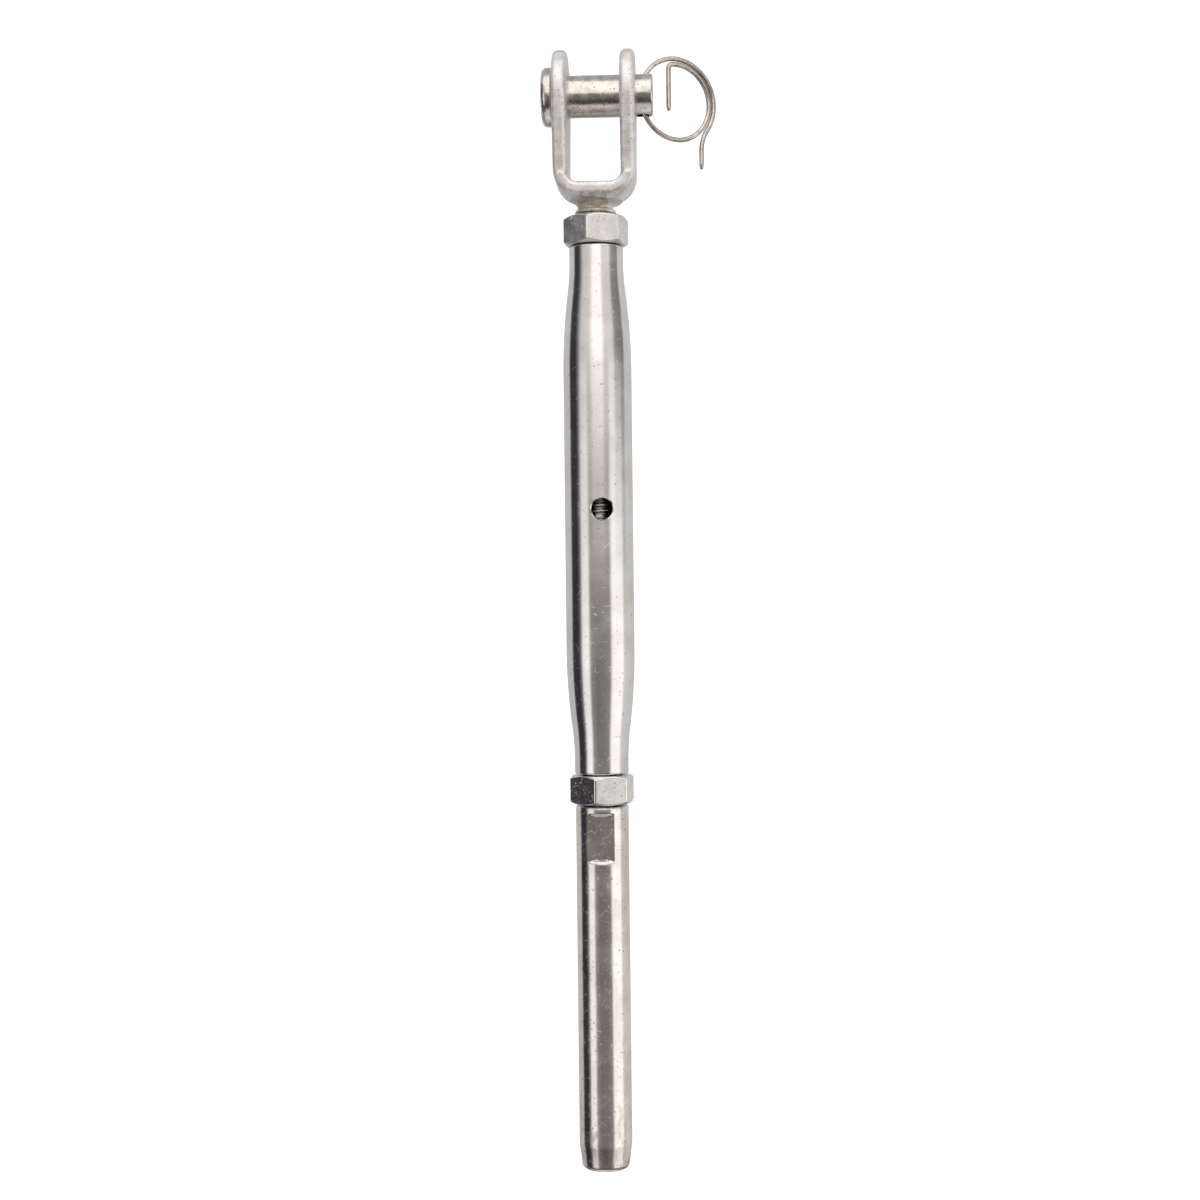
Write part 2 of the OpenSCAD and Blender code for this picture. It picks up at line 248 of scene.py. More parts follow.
# %% Join and cut with rounded edges
def both(a, b, ease):
    """What lies in both shapes, with a rounded edge. Fields are below zero in metal."""
    p, q = a + ease, b + ease
    outside = np.hypot(np.maximum(p, 0), np.maximum(q, 0))
    return np.minimum(np.maximum(p, q), 0) + outside - ease


def either(a, b, ease):
    """What lies in either shape, with a fillet where they meet."""
    return -both(-a, -b, ease)


def lumps(x, y, z, size, seed):
    """Gentle unevenness from -0.5 to 0.5, with lumps of about this size."""
    lattice = np.random.default_rng(seed).random((32, 32, 32)) - 0.5
    whole, part = [], []
    for place in (x, y, z):
        place = place / size + 400.0
        cell = np.floor(place).astype(int)
        share = place - cell
        whole.append(cell)
        part.append(share * share * (3 - 2 * share))
    total = 0.0
    for corner in np.ndindex(2, 2, 2):
        weight = 1.0
        for step, share in zip(corner, part):
            weight = weight * (share if step else 1 - share)
        at = [(cell + step) % 32 for step, cell in zip(corner, whole)]
        total = total + weight * lattice[at[0], at[1], at[2]]
    return total


# %% Draw a skin over a field
def skin(name, field, low, high, step):
    """A closed mesh where the field is zero, inside a box given in millimetres."""
    axes = [np.arange(a - 1.5 * step, b + 2.5 * step, step) for a, b in zip(low, high)]
    value = field(*np.meshgrid(*axes, indexing="ij"))
    cells = tuple(n - 1 for n in value.shape)
    total = np.zeros((*cells, 3))
    count = np.zeros(cells)
    crossings = []
    for axis in range(3):
        u, v = (axis + 1) % 3, (axis + 2) % 3
        near = value.take(range(cells[axis]), axis=axis)
        far = value.take(range(1, cells[axis] + 1), axis=axis)
        crosses = (near < 0) != (far < 0)
        share = np.where(crosses, near / np.where(crosses, near - far, 1), 0)
        crossings.append((u, v, crosses, near < 0))
        for du, dv in np.ndindex(2, 2):
            part = [slice(None)] * 3
            part[u] = slice(du, du + cells[u])
            part[v] = slice(dv, dv + cells[v])
            here = crosses[tuple(part)]
            total[..., axis] += share[tuple(part)]
            total[..., u] += here * du
            total[..., v] += here * dv
            count += here
    used = count > 0
    number = np.full(cells, -1)
    number[used] = np.arange(used.sum())
    origin = np.array([a[0] for a in axes])
    points = origin + (np.argwhere(used) + total[used] / count[used][:, None]) * step
    faces = []
    for u, v, crosses, outward in crossings:
        found = np.argwhere(crosses)
        ring = []
        for du, dv in ((1, 1), (0, 1), (0, 0), (1, 0)):
            cell = found.copy()
            cell[:, u] -= du
            cell[:, v] -= dv
            ring.append(number[tuple(cell.T)])
        ring = np.stack(ring, axis=1)
        facing = outward[crosses]
        faces += ring[facing].tolist() + ring[~facing][:, ::-1].tolist()
    for _ in range(3):
        slope = gradient(field, points)
        length = np.maximum((slope**2).sum(1), 1e-9)
        move = (field(*points.T) / length)[:, None] * slope
        points = points - np.clip(move, -0.5 * step, 0.5 * step)
    piece = build(name, points, faces, sharp_at=180)
    if len(piece.data.vertices) == len(points):
        slope = gradient(field, np.array([v.co for v in piece.data.vertices]) / MM)
        slope /= np.linalg.norm(slope, axis=1)[:, None]
        piece.data.normals_split_custom_set_from_vertices(slope.tolist())
    return piece


def gradient(field, points, reach=0.02):
    """Which way the field rises at each point."""
    rises = []
    for axis in range(3):
        shift = np.zeros(3)
        shift[axis] = reach
        rises.append(field(*(points + shift).T) - field(*(points - shift).T))
    return np.stack(rises, axis=1) / (2 * reach)


# %% [markdown]
# ## The cast fork
#
# The fork is a U of rounded bar. Its ears are round about the pin and narrow towards
# the bridge, and a flared neck under the bridge is welded to the stud. Three simple
# fields make it: the U seen from the front, the ear seen from the side, and the hollow
# curve of the neck. Very slight lumps stand for the grinding and tumbling that
# finish a casting, and a rippled bead at the foot of the neck is the weld. The skin is
# kept a hair inside the frame's shape, so that no lump stands proud of it.

# %% Fork, seen from the front and from the side
EAR_GAP = 16.0
JAW_DEPTH = 27.2
BRIDGE_T = 4.7
BRIDGE_HALF = 8.5
NECK_R, NECK_TOP = 8.0, -30.0
PIN_R = 6.35
EDGE = 1.75
OUTER_CORNER, INNER_CORNER = 8.5, 3.0


def open_slot(x, z, half, floor, corner):
    """A slot that is open at the top, with round bottom corners."""
    p = np.abs(x) - (half - corner)
    q = floor + corner - z
    return np.hypot(np.maximum(p, 0), np.maximum(q, 0)) + np.minimum(np.maximum(p, q), 0) - corner


def ear_side(y, z):
    """Round ear with two straight flanks down to the bridge."""
    y = np.abs(y)
    turn = math.atan2(-JAW_DEPTH, BRIDGE_HALF)
    turn += math.acos(EAR_R / math.hypot(JAW_DEPTH, BRIDGE_HALF))
    out = (math.cos(turn), math.sin(turn))
    past_touch = z * out[0] - y * out[1]
    ear = np.where(past_touch > 0, np.hypot(y, z) - EAR_R, y * out[0] + z * out[1] - EAR_R)
    foot = np.maximum(y - BRIDGE_HALF + 0.3, z + JAW_DEPTH - 1)
    near = np.maximum(3.0 - np.abs(ear - foot), 0) / 3.0
    return np.minimum(ear, foot) - 0.75 * near * near


# %% Fork as one field
BEAD_R, BEAD_HALF, RIPPLES = 5.5, 0.72, 26
SOCKET_R = 4.02
PIN_PLAY = 0.1
FORK_INSET = 0.035


def fork_field(x, y, z):
    """The whole fork: U bar, pin holes, neck, weld bead and the stud's socket."""
    bridge_low = -JAW_DEPTH - BRIDGE_T
    bar = np.maximum(
        open_slot(x, z, FORK_HALF, bridge_low, OUTER_CORNER),
        -open_slot(x, z, EAR_GAP / 2, -JAW_DEPTH, INNER_CORNER),
    )
    bar = both(bar, ear_side(y, z), EDGE)
    r = np.hypot(x, y)
    height = bridge_low - NECK_END
    flare = NECK_R - SHANK_R
    hollow = (height**2 + flare**2) / (2 * flare)
    neck = hollow - np.hypot(r - SHANK_R - hollow, z - NECK_END)
    within = np.maximum(NECK_END - z, z - NECK_TOP)
    neck = np.maximum(np.maximum(neck, r - NECK_R), within)
    metal = either(bar, neck, 0.6 + 2.0 * np.clip((x + 1) / 6, 0, 1))
    around = np.arctan2(y, x)
    ripple = 0.07 * np.sin(RIPPLES * around + 1.5 * np.sin(3 * around))
    bead = np.hypot(r - BEAD_R, z - NECK_END + 0.25) - BEAD_HALF - ripple
    metal = either(metal, bead, 0.35)
    metal = both(metal, PIN_R + PIN_PLAY - np.hypot(y, z), 0.5)
    socket = np.maximum(r - SOCKET_R, z - SPIGOT_TOP)
    metal = both(metal, -socket, 0.05)
    unevenness = 0.05 * lumps(x, y, z, 4.5, 3) + 0.02 * lumps(x, y, z, 1.3, 4)
    return metal + FORK_INSET + unevenness


fork = skin(
    "fork", fork_field,
    (-FORK_HALF, -EAR_R, NECK_END - 1.2), (FORK_HALF, EAR_R, EAR_R), 0.28,
)

# %% [markdown]
# ## The right-hand stud
#
# A threaded rod with a plain spigot that sits in the fork's neck. Only a sliver of it
# shows while the turnbuckle is closed, and it shows again in the inspection hole.

# %% Stud of the fork
SPIGOT_R = 3.98
thread_start = UPPER_NUT[1] - 0.5
shank = turned(eased([
    (0, SPIGOT_TOP), (SPIGOT_R, SPIGOT_TOP, 0.3), (SPIGOT_R, NECK_END), (SHANK_R, NECK_END),
    (SHANK_R, thread_start),
]))
fork_stud = build(
    "fork_stud", *join(shank, threaded(thread_start, STUD_END - TIP_REACH, RIGHT_HAND))
)

# %% [markdown]
# ## The tube
#
# The body is a turned tube: a short straight land at each end, a hollow curve, a full
# curve, then the straight middle. The inside has two threaded ends, hidden by the studs,
# and a wider plain bore between them. A row of points every half millimetre along the
# curves keeps the long reflections smooth. The inspection hole goes through both walls.
# It is cut with a boolean, and because a cut upsets the shading around it, the faces on
# the straight middle get their true round normals back. A plain cone would break the
# hole's edge only where the tube stands proudest, so the cone is bent to the tube.

# %% Outline of the tube
END_R = 8.2
LAND, FLARE, SWELL = 4.0, 10.0, 24.0
BORE_R, RELIEF_R = 6.05, 7.3
TAPPED = 40.0


def taper(s):
    """Radius at a distance from the land: first a hollow curve, then a full one."""
    slope = 2 * (BODY_R - END_R) / (FLARE + SWELL)
    if s < FLARE:
        return END_R + slope * s * s / (2 * FLARE)
    return BODY_R - slope * (FLARE + SWELL - s) ** 2 / (2 * SWELL)


def tube_end(end, way):
    """Half of the outside, from the bore's mouth to the straight middle."""
    face = [(BORE_R + 0.5, end, 0.1), (END_R, end, 0.65), (END_R, end - way * LAND)]
    face = eased([(BORE_R, end - way * 0.5), *face])
    return face + [
        (taper(s), end - way * (LAND + s)) for s in np.arange(0.5, FLARE + SWELL + 0.1, 0.5)
    ]


relief_step = RELIEF_R - BORE_R
outside = tube_end(BODY_TOP, 1) + tube_end(BODY_LOW, -1)[::-1]
inside = [
    (BORE_R, BODY_LOW + TAPPED), (RELIEF_R, BODY_LOW + TAPPED + relief_step),
    (RELIEF_R, BODY_TOP - TAPPED - relief_step), (BORE_R, BODY_TOP - TAPPED),
]
tube = build("tube", *turned(outside + inside + outside[:1]))

# %% Cut with a tool, then mend the shading
def cut(piece, cutter):
    """Takes the cutter's shape out of a piece, for good."""
    tool = piece.modifiers.new("cut", "BOOLEAN")
    tool.object = cutter
    tool.operation = "DIFFERENCE"
    tool.solver = "EXACT"
    graph = bpy.context.evaluated_depsgraph_get()
    whole = bpy.data.meshes.new_from_object(piece.evaluated_get(graph))
    piece.modifiers.clear()
    piece.data = whole
    bpy.data.objects.remove(cutter)
    print(piece.name, "after the cut:", len(whole.polygons), "faces")


def drill(points, faces, place, turn):
    """A cutter whose own axis is turned from Z and set at a place in millimetres."""
    cutter = build("drill", points, faces)
    cutter.data.transform(Matrix.Translation(Vector(place) * MM) @ turn)
    return cutter


def keep_round(piece, axis):
    """True normals on the straight round faces about an axis of the frame."""
    mesh = piece.data
    flat = [k for k in range(3) if k != axis]
    mesh.set_sharp_from_angle(angle=math.radians(24))
    normals = [(0.0, 0.0, 0.0)] * len(mesh.loops)
    for face in mesh.polygons:
        corners = [mesh.vertices[i].co for i in face.vertices]
        radii = [math.hypot(c[flat[0]], c[flat[1]]) for c in corners]
        if abs(face.normal[axis]) > 0.01 or max(radii) - min(radii) > 2e-5:
            continue
        out = sum(face.normal[k] * face.center[k] for k in flat)
        for loop, corner in zip(face.loop_indices, corners):
            normal = Vector([0.0 if k == axis else corner[k] for k in range(3)])
            normals[loop] = tuple(normal.normalized() * math.copysign(1, out))
    mesh.normals_split_custom_set(normals)


# %% The inspection hole through both walls
SIGHT_R = 3.25
SIGHT_TURN = math.radians(8.5)
RIM = 0.3
SIGHT_CUT = 13.0
rim_start = BODY_R - RIM
cone_r = SIGHT_R + SIGHT_CUT - rim_start
sight_points, sight_faces = turned([
    (0, -SIGHT_CUT), (cone_r, -SIGHT_CUT), (SIGHT_R, -rim_start), (SIGHT_R, rim_start),
    (cone_r, SIGHT_CUT), (0, SIGHT_CUT),
])
sight_points[:, Z] += np.sign(sight_points[:, Z]) * (
    np.sqrt(BODY_R**2 - sight_points[:, X] ** 2) - BODY_R
)
sight_way = Matrix.Rotation(SIGHT_TURN, 4, "Z") @ Matrix.Rotation(math.pi / 2, 4, "X")
cut(tube, drill(sight_points, sight_faces, (0, 0, BODY_MID), sight_way))
keep_round(tube, Z)

# %% [markdown]
# ## The lock nuts
#
# A lock nut is a hexagon with both ends turned to a shallow cone, which leaves the
# curved edge seen on every nut. Its corners are slightly broken by polishing, and that
# broken edge is what catches the light. The field way of the fork suits it: a hexagon
# with round corners, kept inside two cones and two end faces, with the bore taken out.

# %% A nut as a field
NUT_AF = 17.8
NUT_FACE_R = 0.97 * NUT_AF / 2
CONE_SLOPE = math.radians(30)
MOUTH = 0.5
NUT_INSET = 0.006


def hexagon(x, y, half, corner):
    """A hexagon with rounded corners, two of them on the X axis."""
    x, y = np.abs(x), np.abs(y)
    k = math.sqrt(0.75)
    upper = both(y - half, k * x + 0.5 * y - half, corner)
    return both(upper, k * x - 0.5 * y - half, corner)


def lock_nut(name, low, high, turn):
    """A lock nut between two heights, with a corner at the angle turn from -Y."""
    c, s = math.cos(math.radians(turn - 90)), math.sin(math.radians(turn - 90))

    def field(x, y, z):
        r = np.hypot(x, y)
        metal = hexagon(x * c + y * s, y * c - x * s, NUT_AF / 2, 0.35)
        for depth in (high - z, z - low):
            cone = (r - NUT_FACE_R) * math.sin(CONE_SLOPE) - depth * math.cos(CONE_SLOPE)
            metal = both(metal, cone, 0.22)
            metal = both(metal, -depth, 0.12)
            mouth = (r - BORE_R - MOUTH + depth) * math.sqrt(0.5)
            metal = both(metal, -mouth, 0.05)
        metal = both(metal, BORE_R - r, 0.05)
        return metal + NUT_INSET + 0.012 * lumps(x, y, z, 5.0, 9)

    reach = NUT_AF / math.sqrt(3)
    return skin(name, field, (-reach, -reach, low), (reach, reach, high), 0.22)


upper_nut = lock_nut("upper_nut", *UPPER_NUT, -13)
lower_nut = lock_nut("lower_nut", *LOWER_NUT, -9)

# %% [markdown]
# ## The swage terminal
#
# One machined bar makes the left-hand stud, the shoulder and the long sleeve. Two
# spanner flats are milled across it. They could be cut with a boolean, but on a lathe
# mesh it is cleaner to pull the points in: inside the flat, each point's radius becomes
# the distance to a plane, and two columns of points are moved to the flat's edges
# so that its corners are crisp. The cutter leaves a short curved run-out at both ends.
# The nose is a slow cone that ends in a small round, and the bore for the wire ends in
# a drill point.

# %% Sleeve with spanner flats, cone nose and wire bore
FLAT_HALF = 7.0
FLAT_TOP, FLAT_LOW = SHOULDER - 3.2, SHOULDER - 16.0
WIRE_R, WIRE_DEPTH = 4.2, 83.0
DRILL_POINT = math.radians(59)
NOSE_ROUND, NOSE_LEN, NOSE_R = 1.6, 6.0, 7.3
flat_edge = math.acos(FLAT_HALF / SLEEVE_R)
flat_around = AROUND.copy()
for half_turn in (0, math.pi, 2 * math.pi):
    for way in (-1, 1):
        edge = half_turn + way * flat_edge
        if 0 < edge < 2 * math.pi:
            flat_around[np.argmin(np.abs(flat_around - edge))] = edge

sleeve_corners = eased([
    (SHANK_R, SHOULDER), (SLEEVE_R, SHOULDER, 1.0), (SLEEVE_R, SHOULDER - 2.0),
])
run_out = [(1.15, 0.0), (1.0, 0.05), (0.8, 0.16), (0.6, 0.32), (0.4, 0.52), (0.2, 0.76)]
flat_rows = (
    [(FLAT_TOP + rise, depth) for rise, depth in run_out]
    + [(FLAT_TOP, 9.0), (FLAT_LOW, 9.0)]
    + [(FLAT_LOW - rise, depth) for rise, depth in run_out[::-1]]
)
first_flat = len(sleeve_corners)
wire_tip = NOSE + WIRE_DEPTH + WIRE_R / math.tan(DRILL_POINT)
nose_end = NOSE_R - NOSE_ROUND
cone_top = NOSE + NOSE_ROUND + NOSE_LEN
sleeve_outline = (
    sleeve_corners
    + [(SLEEVE_R, height) for height, _ in flat_rows]
    + [(SLEEVE_R, z) for z in np.linspace(FLAT_LOW - 2, cone_top + 1.4, 24)]
    + eased([(SLEEVE_R, cone_top + 0.8), (SLEEVE_R, cone_top, 0.5), (NOSE_R, NOSE + NOSE_ROUND)])
    + [
        (nose_end + NOSE_ROUND * math.cos(t), NOSE + NOSE_ROUND * (1 - math.sin(t)))
        for t in np.linspace(0.1, math.pi / 2, 10)
    ]
    + eased([(nose_end, NOSE), (WIRE_R + 0.5, NOSE, 0.1), (WIRE_R, NOSE + 0.5)])
    + [(WIRE_R, NOSE + WIRE_DEPTH), (0, wire_tip)]
)


# %% Mill the flats and build the terminal
def mill_flats(row, radii, around):
    """Pulls the rows of the spanner flats in to two planes."""
    if not first_flat <= row < first_flat + len(flat_rows):
        return radii
    depth = flat_rows[row - first_flat][1]
    plane = FLAT_HALF / np.maximum(np.abs(np.cos(around)), 0.2)
    return np.minimum(radii, np.maximum(plane, radii - depth))


stud_threads = threaded(SHOULDER, TERMINAL_TOP + TIP_REACH, LEFT_HAND, flat_around)
terminal = build(
    "terminal",
    *join(stud_threads, turned(sleeve_outline, mill_flats, flat_around)),
    sharp_at=20,
)

# %% [markdown]
# ## The clevis pin
#
# The pin is a plain bar with a low domed head and a softly rounded end. The hole for the
# ring goes across it, and its mouths are eased so that the ring doesn't scratch. The bar
# is turned about Z first and laid over onto X, which spares a second lathe helper.

# %% Pin with its cross hole
HEAD_T, DOME = 3.2, 1.76
CROSS_X, CROSS_R = 14.891, 1.991
CROSS_RIM, CROSS_CUT = 0.28, 9.0
dome = [
    (HEAD_R - DOME * (1 - math.sin(t)), HEAD_END + DOME * (1 - math.cos(t)))
    for t in np.linspace(0, math.pi / 2, 10)
]
pin_outline = (
    [(0, HEAD_END), (HEAD_R * 0.4, HEAD_END)]
    + dome
    + eased([
        (HEAD_R, HEAD_END + 1.8), (HEAD_R, HEAD_END + HEAD_T, 0.3),
        (PIN_R, HEAD_END + HEAD_T), (PIN_R, HEAD_END + HEAD_T + 1),
    ])
    + [(PIN_R, x) for x in np.linspace(HEAD_END + HEAD_T + 2, PIN_END - 1.1, 16)]
    + eased([(PIN_R, PIN_END - 1), (PIN_R, PIN_END, 0.75), (0, PIN_END)], 6)
)
lay_over = Matrix.Rotation(math.pi / 2, 4, "Y")
pin = build("pin", *turned(pin_outline))
pin.data.transform(lay_over)
ring_drill = [
    (0, -CROSS_CUT), (CROSS_R + 3, -CROSS_CUT), (CROSS_R, -PIN_R + CROSS_RIM),
    (CROSS_R, PIN_R - CROSS_RIM), (CROSS_R + 3, CROSS_CUT), (0, CROSS_CUT),
]
cut(pin, drill(*turned(ring_drill), (CROSS_X, 0, 0), Matrix.Identity(4)))
keep_round(pin, X)

# %% [markdown]
# ## The cotter ring
#
# One length of spring wire, bent to about a round and a half. It starts as a short leg
# inside the ring, goes half round on a slightly smaller circle, comes back through the
# pin, and goes on over a slightly larger circle to a tail that lets a finger open it.
# All of it lies in one plane, so sweeping a circle along the path needs no twist
# control: the plane's own normal is one side of every cross-section.

# %% Path of the wire
WIRE = 0.75
RING_R, STRAND = 12.4, 0.85
RING_TURN = math.radians(30)
RING_REACH = 11.458
LEG, LEG_ASIDE, LEG_BEND_R = 12.8, 1.2, 1.6
TAIL, TAIL_TURN, TAIL_BEND_R = 5.6, math.radians(35), 11.6
QUARTER = math.pi / 2
FINE = 0.2


def arc(centre, radius, start, end, spacing=0.35):
    """Points of an arc in the ring's plane, without its last point."""
    count = max(4, int(abs(end - start) * radius / spacing))
    turns = np.linspace(start, end, count, endpoint=False)
    return [(centre[0] + radius * math.cos(t), centre[1] + radius * math.sin(t)) for t in turns]


inner, outer = RING_R - STRAND, RING_R + STRAND
leg_turn = math.asin(LEG_ASIDE / inner)
leg_bend = (
    -(inner - LEG_BEND_R) * math.sin(leg_turn),
    (inner - LEG_BEND_R) * math.cos(leg_turn) - STRAND,
)
leg_x = leg_bend[0] - LEG_BEND_R
tail_bend = (
    (outer + TAIL_BEND_R) * math.cos(TAIL_TURN),
    -(outer + TAIL_BEND_R) * math.sin(TAIL_TURN) - STRAND,
)
tail_x = tail_bend[0] - TAIL_BEND_R
tail_end = tail_bend[1] - TAIL - FINE / 20
path = [(leg_x, z) for z in np.arange(leg_bend[1] - LEG, leg_bend[1], FINE)]
path += arc(leg_bend, LEG_BEND_R, math.pi, QUARTER + leg_turn, FINE)
path += arc((0, -STRAND), inner, QUARTER + leg_turn, -QUARTER)
path += arc((0, 0), RING_R, 3 * QUARTER, QUARTER)
path += arc((0, -STRAND), outer, QUARTER, -TAIL_TURN)
path += arc(tail_bend, TAIL_BEND_R, math.pi - TAIL_TURN, math.pi)
path += [(tail_x, z) for z in np.arange(tail_bend[1], tail_end, -FINE)]
path = np.array(path)
lengths = np.linalg.norm(np.diff(path, axis=0), axis=1)
run = np.concatenate([[0], np.cumsum(lengths)])
print("wire length, mm:", round(run[-1], 1), "in", len(path), "steps")

# %% Sweep the wire
SIDES = 20
along = np.gradient(path, axis=0)
along /= np.linalg.norm(along, axis=1)[:, None]
ring_u = np.array([math.cos(RING_TURN), math.sin(RING_TURN), 0])
ring_up = np.array([0, 0, 1])
ring_across = np.array([-math.sin(RING_TURN), math.cos(RING_TURN), 0])
ring_home = np.array([CROSS_X, 0, 0]) + RING_REACH * ring_u
wire_around = np.linspace(0, 2 * math.pi, SIDES + 1)


def wire_row(k, share=1.0):
    """One cross-section of the wire, smaller where an end tapers."""
    centre = ring_home + path[k][0] * ring_u + path[k][1] * ring_up
    side = -along[k][1] * ring_u + along[k][0] * ring_up
    return [
        centre + WIRE * share * (math.cos(t) * side + math.sin(t) * ring_across)
        for t in wire_around
    ]


def tip_share(distance, length):
    """How much of the wire's thickness is left near a tapered end."""
    return 0.45 + 0.55 * math.sqrt(min(1.0, distance / length))


rows = [wire_row(0, 0.0)]
for k in range(len(path)):
    share = min(tip_share(run[k], 1.0), tip_share(run[-1] - run[k], 1.6))
    rows.append(wire_row(k, share))
rows.append(wire_row(len(path) - 1, 0.0))
ring = build(
    "cotter_wire", np.concatenate(rows), grid_faces(len(rows), SIDES + 1), sharp_at=50
)

# %% [markdown]
# ## Steels
#
# All eight parts are stainless steel, yet no two have the same skin: a tumbled casting,
# rolled threads, a polished tube, brushed nuts, drawn wire. What differs is how rough
# each is, how it was rubbed and how it has worn. One recipe holds the ingredients, and
# each part sets the amounts: a soft mottle of colour and roughness, fine pebbles or
# brush lines as bump, short hairline scratches, a few dark specks, and a stain.
# Everything is placed in the part's own millimetres, so it rides with the part.

# %% One helper for all nodes
def add_node(tree, kind, inputs=(), **settings):
    """A node with its settings and inputs. An input is a value or a socket."""
    node = tree.nodes.new(kind)
    for name, value in settings.items():
        setattr(node, name, value)
    for key, value in dict(inputs).items():
        if isinstance(value, bpy.types.NodeSocket):
            tree.links.new(value, node.inputs[key])
        else:
            node.inputs[key].default_value = value
    return node


# %% A recipe for worn stainless steel
class Steel:
    """Nodes of one steel, added a layer at a time."""

    def __init__(self, name, roughness):
        self.material = bpy.data.materials.new(name)
        self.material.use_nodes = True
        self.tree = self.material.node_tree
        self.shader = self.tree.nodes["Principled BSDF"]
        self.shader.inputs["Metallic"].default_value = 1.0
        self.place = self.add("ShaderNodeTexCoord").outputs["Object"]
        self.colour = None
        self.roughness = roughness
        self.height = None

    def add(self, kind, inputs=(), **settings):
        """One node of this steel."""
        return add_node(self.tree, kind, inputs, **settings)

    def along(self, axis):
        """Place along one axis, in metres."""
        return self.add("ShaderNodeSeparateXYZ", {0: self.place}).outputs[axis]

    def figure(self, operation, a, b=0.0):
        """A number worked out from one or two others."""
        return self.add("ShaderNodeMath", {0: a, 1: b}, operation=operation).outputs[0]

    def total(self, a, b):
        """Two numbers or sockets added."""
        return self.figure("ADD", a, b)

    def times(self, a, b):
        """Two numbers or sockets multiplied."""
        return self.figure("MULTIPLY", a, b)

    def fit(self, value, low, high, new_low=0.0, new_high=1.0):
        """Stretches low..high to new_low..new_high, softly and held at both ends."""
        inputs = {0: value, 1: low, 2: high, 3: new_low, 4: new_high}
        node = self.add("ShaderNodeMapRange", inputs, interpolation_type="SMOOTHSTEP")
        return node.outputs[0]

    def stretched(self, scale, turn=(0, 0, 0)):
        """The part's coordinates with each axis scaled, counted in lumps per metre."""
        inputs = {"Vector": self.place, "Scale": scale, "Rotation": turn}
        return self.add("ShaderNodeMapping", inputs).outputs[0]

    def noise(self, per_mm, detail=2.0, turn=(0, 0, 0)):
        """Noise whose lumps are counted per millimetre, along X, Y and Z."""
        scale = [n / MM for n in per_mm]
        inputs = {"Vector": self.stretched(scale, turn), "Scale": 1.0, "Detail": detail}
        return self.add("ShaderNodeTexNoise", inputs).outputs["Fac"]

    def blend(self, share, colour, strength=1.0):
        """Lays a colour over what is there, as much as share says."""
        below = self.colour
        inputs = {0: self.times(share, strength), 7: (*colour, 1)}
        node = self.add("ShaderNodeMix", inputs, data_type="RGBA")
        if isinstance(below, tuple):
            node.inputs[6].default_value = (*below, 1)
        else:
            self.tree.links.new(below, node.inputs[6])
        self.colour = node.outputs[2]

    def roughen(self, share, amount):
        """Makes the steel duller, as much as share says."""
        self.roughness = self.total(self.roughness, self.times(share, amount))

    def raise_by(self, value, amount):
        """Adds to the surface's height, in millimetres."""
        more = self.times(value, amount)
        self.height = more if self.height is None else self.total(self.height, more)

    def finish(self):
        """Joins the layers to the shader."""
        links = self.tree.links
        links.new(self.colour, self.shader.inputs["Base Color"])
        links.new(self.roughness, self.shader.inputs["Roughness"])
        if self.height is not None:
            bump = self.add("ShaderNodeBump", {"Height": self.height, "Distance": MM})
            links.new(bump.outputs[0], self.shader.inputs["Normal"])
        return self.material


# %% The layers: mottle, hairlines and specks
def mottle(steel, dark, light, per_mm, shift):
    """A soft change of colour and roughness from place to place."""
    cloud = steel.noise((per_mm,) * 3, 3.0)
    steel.colour = dark
    steel.blend(steel.fit(cloud, 0.35, 0.65), light)
    steel.roughness = steel.total(steel.roughness, steel.fit(cloud, 0.3, 0.7, -shift, shift))


def hairlines(steel, cells_per_mm, width, amount, pale, share=0.10):
    """Short curved scratches: thin walls between warped cells, kept only in patches."""
    warp = steel.add("ShaderNodeTexNoise", {
        "Vector": steel.place, "Scale": 0.35 * cells_per_mm / MM, "Detail": 1.0,
    })
    bent = steel.add("ShaderNodeVectorMath", {
        0: warp.outputs["Color"], 1: (1.6 * MM / cells_per_mm,) * 3, 2: steel.place,
    }, operation="MULTIPLY_ADD")
    walls = steel.add("ShaderNodeTexVoronoi", {
        "Vector": bent.outputs[0], "Scale": cells_per_mm / MM,
    }, feature="DISTANCE_TO_EDGE")
    line = steel.fit(walls.outputs["Distance"], 0.0, width, 1.0, 0.0)
    patch = steel.noise((2.2 * cells_per_mm,) * 3, 0.0)
    line = steel.times(line, steel.fit(patch, 0.65 - share, 0.71 - share))
    steel.blend(line, pale, 0.5 * amount)
    steel.roughen(line, 0.35 * amount)
    steel.raise_by(line, -0.006 * amount)


def specks(steel, per_mm, threshold, colour, strength):
    """Tiny dark pits where dirt has stayed."""
    dots = steel.fit(steel.noise((per_mm,) * 3, 0.0), threshold, threshold + 0.03)
    steel.blend(dots, colour, strength)
    steel.roughen(dots, 0.3 * strength)


# %% The layers that stay in one place: grease in a thread, a dull drilled wall with painted shade
def from_line(steel, point, way):
    """Distance in metres from the line through a point in millimetres."""
    offset = steel.add("ShaderNodeVectorMath", {
        0: steel.place, 1: [-n * MM for n in point],
    }, operation="ADD")
    across = steel.add("ShaderNodeVectorMath", {
        0: offset.outputs[0], 1: way,
    }, operation="CROSS_PRODUCT")
    length = steel.add("ShaderNodeVectorMath", {0: across.outputs[0]}, operation="LENGTH")
    return length.outputs["Value"]


